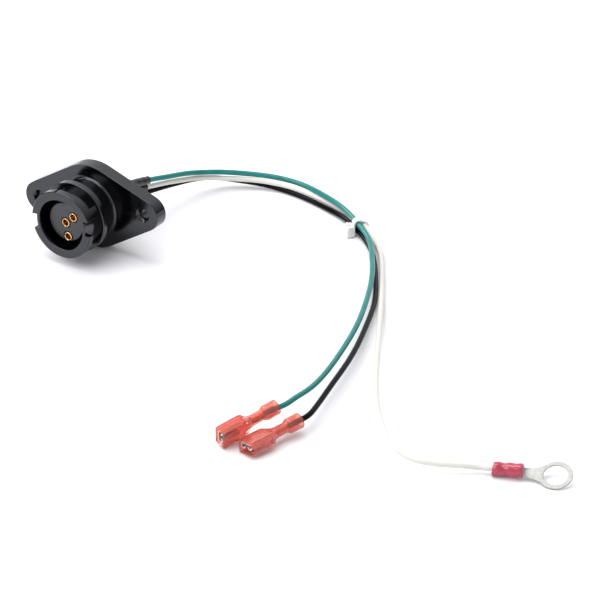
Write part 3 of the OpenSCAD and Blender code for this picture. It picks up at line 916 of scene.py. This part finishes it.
def build_housing(name, m, node):
    out = [(0.0, 3.5, 2.2, 0.34), (0.04, 3.56, 2.28, 0.38), (0.16, 3.6, 2.32, 0.4), (1.5, 3.6, 2.36, 0.4), (3.5, 3.6, 2.4, 0.4), (6.0, 3.6, 2.4, 0.4), (8.4, 3.6, 2.38, 0.42),
           (9.5, 3.58, 2.36, 0.5), (10.0, 3.5, 2.34, 0.65), (10.4, 3.3, 2.3, 0.85), (10.8, 2.96, 2.24, 1.1), (11.2, 2.62, 2.2, 1.35), (11.7, 2.34, 2.12, 1.6),
           (12.4, 2.14, 2.02, 1.8), (13.2, 2.04, 1.92, 1.8), (14.1, 2.02, 1.84, 1.72), (15.0, 2.06, 1.74, 1.62), (15.7, 2.0, 1.8, 1.68), (16.5, 2.06, 1.74, 1.62),
           (17.2, 1.98, 1.82, 1.72), (17.8, 2.0, 1.94, 1.88), (18.2, 2.2, 2.18, 2.1), (18.6, 2.5, 2.48, 2.42), (19.0, 2.7, 2.69, 2.66), (19.5, 2.79, 2.79, 2.79),
           (22.0, 2.78, 2.78, 2.78), (23.75, 2.8, 2.8, 2.8), (23.93, 2.76, 2.76, 2.76), (24.0, 2.66, 2.66, 2.66)]
    inn = [(24.0, 2.24, 2.24, 2.24), (23.9, 2.14, 2.14, 2.14), (19.7, 2.1, 2.1, 2.1), (19.0, 1.85, 1.85, 1.85), (18.2, 1.33, 1.33, 1.33), (15.5, 1.32, 1.32, 1.32),
           (13.0, 1.32, 1.32, 1.32), (11.2, 1.7, 1.7, 1.65), (9.85, 1.72, 1.7, 1.6), (9.8, 3.0, 1.7, 0.3), (9.6, 3.1, 1.75, 0.28), (1.0, 3.1, 1.75, 0.28), (0.35, 3.1, 1.76, 0.28),
           (0.06, 3.2, 1.88, 0.32), (0.0, 3.26, 1.95, 0.34)]
    bm = bmesh.new()
    rings = [[(x, y, z) for y, z in rrect(a, b, c)] for x, a, b, c in out + inn]
    loft(bm, rings, close=True)
    o = new_object(name, bm)
    # a slot in one narrow side, at the entry
    bm = bmesh.new()
    bmesh.ops.create_cube(bm, size=1)
    bmesh.ops.scale(bm, vec=(2.1, 2.0, 1.7), verts=bm.verts)
    bmesh.ops.translate(bm, vec=(0.05, -3.6, 0), verts=bm.verts)
    cut(o, [new_object("entry_cutter", bm)])
    o.data.transform(MM @ m)
    smooth(o, 42)
    return finish_piece(o, M["nylon"], "nylon_red", node)


def sheet_strip(bm, mid, half, xs, close_ends=True):
    """A bent strip of sheet: mid is a centre line of (y, z) points, half its half thickness, xs the stations along x with a scale each."""
    mid = np.array(mid, float)
    d = np.gradient(mid, axis=0)
    d /= np.linalg.norm(d, axis=1)[:, None]
    nrm = np.stack([-d[:, 1], d[:, 0]], 1)
    rim = half * 0.35
    a = mid + nrm * half
    b = mid - nrm * half
    tip1 = [mid[-1] + d[-1] * rim]
    tip0 = [mid[0] - d[0] * rim]
    loop = list(a) + tip1 + list(b[::-1]) + tip0
    rings = [[(x, p[0] * ky, zc + (p[1] - zc) * kz) for p in loop] for x, ky, kz, zc in xs]
    loft(bm, rings, cap=(True, True))


def build_terminal(name, m, node):
    """Flat floor with both edges rolled over toward the middle, then neck and crimp barrel."""
    bm = bmesh.new()
    roll = []
    for i in range(0, 27):
        a = math.radians(-90 + 265 * i / 26)
        r = 1.0 - 0.16 * max(0.0, (i - 13) / 13)
        roll.append((1.65 + r * math.cos(a), -0.4 + r * math.sin(a)))
    floor = [(-1.65 + 3.3 * i / 8, -1.4) for i in range(9)]
    mid = [(-y, z) for y, z in roll[::-1]] + floor[1:-1] + roll
    sheet_strip(bm, mid, 0.19, [(0.7, 1.0, 0.96, -0.4), (0.85, 1.0, 1.0, -0.4), (4.3, 1.0, 1.0, -0.4), (7.75, 1.0, 1.0, -0.4), (7.9, 1.0, 0.96, -0.4)])
    # neck: from the floor up to the barrel
    rings = []
    for x, y, z1, z2 in ((7.7, 1.5, -1.58, -1.22), (8.4, 1.05, -1.58, -1.22), (9.2, 0.8, -1.5, -1.14), (10.2, 0.66, -1.2, -0.84), (11.4, 0.6, -1.0, -0.66), (13.4, 0.6, -0.98, -0.7)):
        rings.append([(x, y, z1), (x, y, z2), (x, y * 0.5, z2), (x, -y * 0.5, z2), (x, -y, z2), (x, -y, z1), (x, -y * 0.5, z1), (x, y * 0.5, z1)])
    loft(bm, rings, cap=(True, True))
    prof = [(0.7, 13.2), (0.94, 13.2), (1.02, 13.3), (1.02, 17.9), (0.94, 18.0), (0.7, 18.0)]
    lathe(bm, prof, "x", 32, close=True)
    o = new_object(name, bm, m)
    smooth(o, 45)
    return finish_piece(o, M["tin_tab"], "tinned", node)


def build_crimp_sleeve(name, m, node):
    bm = bmesh.new()
    prof = []
    for i in range(19):
        prof.append((1.24 + 0.02 * math.cos(i * 1.9), 13.62 + 4.46 * i / 18))
    prof = [(1.08, 13.6), (1.2, 13.6)] + prof + [(1.2, 18.1), (1.08, 18.1)]
    lathe(bm, prof, "x", 40, close=True)
    o = new_object(name, bm, m)
    smooth(o, 45)
    return finish_piece(o, M["brass"], "strand_copper", node)


tab_pieces = {}
for k, m in (("green", GREEN), ("black", BLACK)):
    tab_pieces[k] = [
        build_housing("tab_housing_" + k, m, "disconnect_housing_" + k),
        build_terminal("tab_terminal_" + k, m @ turn((180 if k == "black" else 0, 0, 0)), "disconnect_terminal_" + k),
        build_crimp_sleeve("tab_crimp_sleeve_" + k, m, "crimp_sleeve_" + k),
        paint("conductor_end_" + k, M["copper"]),
    ]


# ------------------------------------------------------------------ ring terminal
def build_ring():
    """Stamped ring and neck that rolls up into the crimp barrel."""
    bm = bmesh.new()
    eye_r, hole_r = 5.8, 4.2
    a0 = math.radians(142)
    side = []
    for i in range(49):
        a = -a0 + 2 * a0 * i / 48
        side.append((eye_r * math.cos(a), eye_r * math.sin(a)))
    neck = [(-5.3, 3.2), (-6.2, 2.8), (-7.1, 2.48), (-8.0, 2.24), (-8.8, 2.08), (-9.6, 1.98), (-10.4, 1.96), (-11.2, 2.05)]
    outline = side + neck + [(-11.6, 2.1), (-11.6, -2.1)] + [(x, -y) for x, y in neck[::-1]]
    ov = [bm.verts.new((x, y, 0)) for x, y in outline]
    hv = [bm.verts.new((hole_r * math.cos(2 * math.pi * i / 64), hole_r * math.sin(2 * math.pi * i / 64), 0)) for i in range(64)]
    edges = [bm.edges.new((ov[i], ov[(i + 1) % len(ov)])) for i in range(len(ov))]
    edges += [bm.edges.new((hv[i], hv[(i + 1) % 64])) for i in range(64)]
    bmesh.ops.triangle_fill(bm, use_beauty=True, edges=edges)
    for x in np.arange(-11.2, -4.6, 0.4):
        bmesh.ops.bisect_plane(bm, geom=bm.verts[:] + bm.edges[:] + bm.faces[:], plane_co=(x, 0, 0), plane_no=(1, 0, 0))
    for y in np.arange(-2.0, 2.01, 0.4):
        geom = [f for f in bm.faces if f.calc_center_median().x < -4.8]
        ed = {e for f in geom for e in f.edges}
        ve = {v for f in geom for v in f.verts}
        bmesh.ops.bisect_plane(bm, geom=list(ve) + list(ed) + geom, plane_co=(0, y, 0), plane_no=(0, 1, 0))
    bmesh.ops.recalc_face_normals(bm, faces=bm.faces[:])
    if sum(f.normal.z for f in bm.faces) < 0:
        bmesh.ops.reverse_faces(bm, faces=bm.faces[:])
    top = bmesh.ops.extrude_face_region(bm, geom=bm.faces[:])
    moved = [g for g in top["geom"] if isinstance(g, bmesh.types.BMVert)]
    for v in bm.verts:
        v.co.z = -0.3
    for v in moved:
        v.co.z = 0.3
    bmesh.ops.recalc_face_normals(bm, faces=bm.faces[:])
    o = new_object("ring_plate", bm)
    bevel_weights(o, 0.2, lambda a, b, hollow: 0.0 if hollow else 0.16, 3)
    # roll the neck up round the barrel's axis
    for v in o.data.vertices:
        x, y, z = v.co
        t = min(max((-9.2 - x) / 2.2, 0.0), 1.0)
        t = t * t * (3 - 2 * t)
        if t <= 0:
            continue
        k = t / 1.28
        rad = 1 / k
        a = y * k
        v.co = (x, (rad - z) * math.sin(a), rad - (rad - z) * math.cos(a))
    bm = bmesh.new()
    bm.from_mesh(o.data)
    bpy.data.objects.remove(o)
    prof = [(0.85, -19.2), (1.5, -19.2), (1.6, -19.1), (1.6, -10.7), (1.5, -10.6), (0.85, -10.6)]
    b2 = bmesh.new()
    lathe(b2, prof, "x", 40, close=True)
    me = bpy.data.meshes.new("barrel")
    bmesh.ops.translate(b2, vec=(0, 0, RING_Z), verts=b2.verts)
    b2.to_mesh(me)
    b2.free()
    bm.from_mesh(me)
    bpy.data.meshes.remove(me)
    o = new_object("ring_terminal", bm, RING)
    smooth(o, 40)
    return finish_piece(o, M["tin"], "tinned", "ring_tongue")


ring = build_ring()


def build_ring_sleeve():
    """Sleeve with crimp dents and a rear end that was cut a little askew."""
    bm = bmesh.new()

    def dent(x, a, r):
        if r < 1.9:
            return 0.0
        u = (x + 16.6) / 1.0
        d = -0.26 * math.exp(-u * u) * (0.5 + 0.5 * math.cos(a - math.radians(150)))
        u = (x + 17.6) / 1.1
        d -= 0.22 * math.exp(-u * u) * max(0.0, math.cos(a - math.radians(75))) ** 2
        d += (0.12 * math.sin(1.6 * x + 2.0 * math.sin(a)) - 0.07) * (0.5 + 0.5 * math.sin(a))
        return min(d, 0.05)

    prof = [(1.68, -19.4), (1.68, -10.85), (1.85, -10.8), (2.2, -10.84), (2.36, -10.95), (2.43, -11.15)]
    x = -11.5
    while x > -21.0:
        prof.append((2.44, x))
        x -= 0.25
    prof += [(2.44, -21.1), (2.38, -21.3), (2.24, -21.4), (2.1, -21.38), (1.98, -21.2), (1.7, -20.7), (1.3, -20.4)]
    lathe(bm, prof, "x", 56, close=True, wobble=dent)
    for v in bm.verts:
        if v.co.x < -19.5:
            v.co.x += 0.42 * (v.co.z / 2.4 + 0.2) * min(1.0, (-19.5 - v.co.x) / 1.3)
        v.co.x = max(v.co.x, -21.7)
    bmesh.ops.translate(bm, vec=(0, 0, RING_Z), verts=bm.verts)
    o = new_object("ring_terminal_sleeve", bm, RING)
    smooth(o, 45)
    return finish_piece(o, M["sleeve"], "sleeve_red", "ring_sleeve")


ring_sleeve = build_ring_sleeve()
ring_strands = paint("conductor_end_white", M["copper"])


# ------------------------------------------------------------------ cords
def declare(colour, far_end, pieces):
    line = LINES[colour]
    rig.cord(leads[colour], exit=tuple(line.p[0] / 1000), length=round(float(line.s[-1]) / 1000, 4), diameter=0.0020,
            far_end=far_end, stiffness="medium", lay="loose", path=[tuple(p / 1000) for p in line.p], with_pieces=pieces)


declare("green", "connector", tab_pieces["green"] + [shrinks["green"], tie])
declare("white", "fitting", [ring, ring_sleeve, ring_strands, shrinks["white"]])
declare("black", "connector", tab_pieces["black"] + [shrinks["black"]])


# ------------------------------------------------------------------ floor and light
def build_floor():
    bm = bmesh.new()
    n = 24
    grid = [[bm.verts.new((-6 + 12 * i / n, -6 + 12 * j / n, 0.0)) for j in range(n + 1)] for i in range(n + 1)]
    for i in range(n):
        for j in range(n):
            bm.faces.new((grid[i][j], grid[i + 1][j], grid[i + 1][j + 1], grid[i][j + 1]))
    o = new_object("floor", bm)
    mat, nt, b = nodes_of("floor_white")
    b.inputs["Base Color"].default_value = (0.868, 0.862, 0.892, 1)
    b.inputs["Roughness"].default_value = 0.7
    b.inputs["Specular IOR Level"].default_value = 0.15
    o.data.materials.append(mat)
    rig.stage(o)
    return o


build_floor()


def area(name, place, size, radiance, aim=None):
    """A soft box that looks straight down, or at the point aim."""
    data = bpy.data.lights.new(name, "AREA")
    data.shape = "RECTANGLE"
    data.size, data.size_y = size
    data.energy = radiance * math.pi * size[0] * size[1]
    o = bpy.data.objects.new(name, data)
    o.location = place
    if aim:
        o.rotation_euler = (Vector(aim) - Vector(place)).to_track_quat("-Z", "Y").to_euler()
    scene.collection.objects.link(o)
    return o


area("overhead", (-0.42, -0.05, 1.2), (1.4, 0.8), 3.3)
area("front", (-0.75, -1.05, 1.0), (1.3, 0.9), 3.7, (0.08, 0.0, 0.0))
area("left", (-1.25, 0.34, 0.72), (0.7, 0.5), 5.2, (0.06, 0.03, 0.0))


def build_world():
    """Bright behind the table, dimmer on the side of the viewer."""
    world = bpy.data.worlds.new("studio")
    world.use_nodes = True
    nt = world.node_tree
    bg = nt.nodes["Background"]
    co = nt.nodes.new("ShaderNodeTexCoord")
    dot = nt.nodes.new("ShaderNodeVectorMath")
    dot.operation = "DOT_PRODUCT"
    dot.inputs[1].default_value = Vector((-0.30, 0.80, 0.52)).normalized()
    nt.links.new(co.outputs["Generated"], dot.inputs[0])
    c = ramp(nt, spread(nt, dot.outputs["Value"], 0.0, 1.0, 0.3, 0.92), [(0.0, (0.035, 0.035, 0.037)), (1.0, (1.0, 1.0, 1.0))])
    side = nt.nodes.new("ShaderNodeVectorMath")
    side.operation = "DOT_PRODUCT"
    side.inputs[1].default_value = Vector((0.55, -0.72, 0.40)).normalized()
    nt.links.new(co.outputs["Generated"], side.inputs[0])
    d = ramp(nt, spread(nt, side.outputs["Value"], 0.0, 1.0, 0.0, 0.8), [(0.0, (0.0, 0.0, 0.0)), (1.0, (0.66, 0.66, 0.67))])
    both = nt.nodes.new("ShaderNodeMix")
    both.data_type = "RGBA"
    both.blend_type = "ADD"
    both.inputs["Factor"].default_value = 1.0
    nt.links.new(c, both.inputs["A"])
    nt.links.new(d, both.inputs["B"])
    nt.links.new(both.outputs["Result"], bg.inputs["Color"])
    bg.inputs["Strength"].default_value = 1.17
    scene.world = world


build_world()

scene.view_settings.view_transform = "Standard"
scene.view_settings.look = "None"
scene.view_settings.exposure = 0.0
scene.view_settings.gamma = 1.0

lo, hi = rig.bounds()
with open("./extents.json", "w") as f:
    json.dump({"cad": [list(cad_lo), list(cad_hi)], "visual": [list(lo), list(hi)]}, f)
